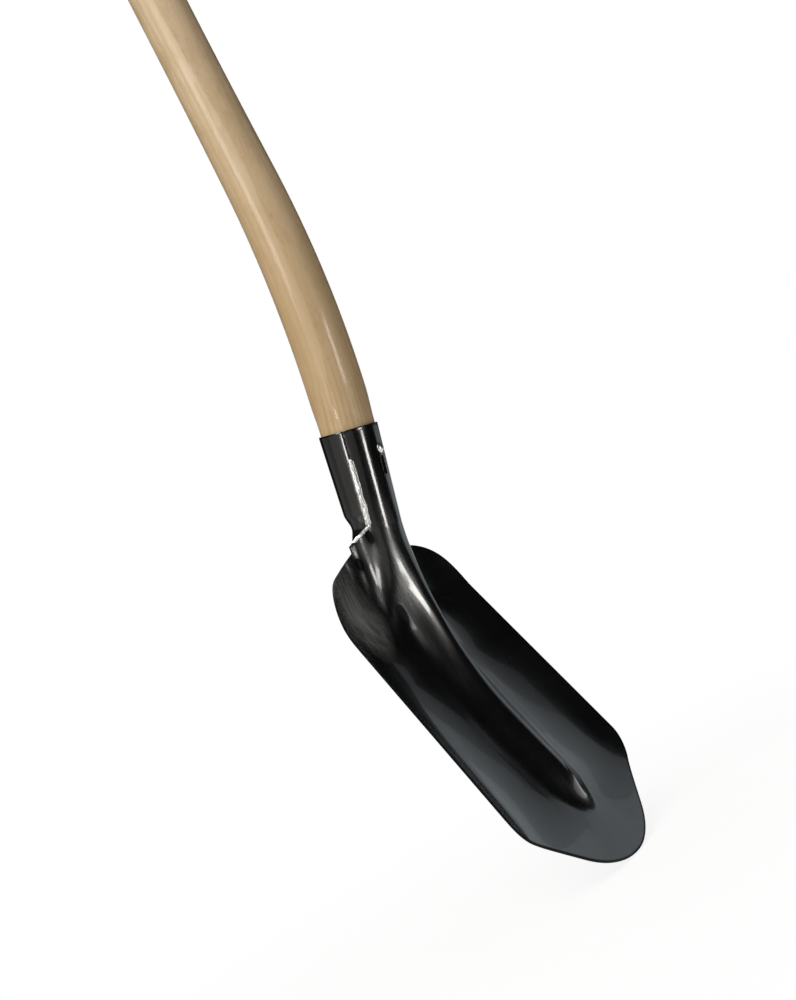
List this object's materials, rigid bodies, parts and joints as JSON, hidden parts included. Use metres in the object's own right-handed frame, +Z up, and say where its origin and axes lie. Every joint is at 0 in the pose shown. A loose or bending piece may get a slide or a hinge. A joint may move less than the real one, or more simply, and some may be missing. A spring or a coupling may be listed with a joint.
{
  "type": "scoop shovel",
  "caption": "Long-handled spade or scoop shovel: a black pressed steel trough blade with a central rib and rounded point, a welded tapered socket and a bent ash handle.",
  "frame": {"origin": "On the axis of the straight upper handle, at the upper hand's grip, 150 mm below the butt.", "axes": "+Z runs up the straight handle to the butt, -Y is the side that the blade's hollow front faces, +X is to the right of someone who looks at that front."},
  "size_m": [0.1988, 0.0896, 1.3934],
  "materials": {
    "lacquered_steel": "black stoved lacquer, semi-gloss",
    "lacquered_weld": "black lacquer over a rippled weld",
    "ash_wood": "clear-lacquered pale ash",
    "zinc_steel": "bright zinc plating"
  },
  "bodies": {
    "root": {"blade": "lacquered_steel", "socket_strap": "lacquered_steel", "left_weld_bead": "lacquered_weld", "right_weld_bead": "lacquered_weld", "handle": "ash_wood", "fixing_screw": "zinc_steel"}
  },
  "joints": []
}
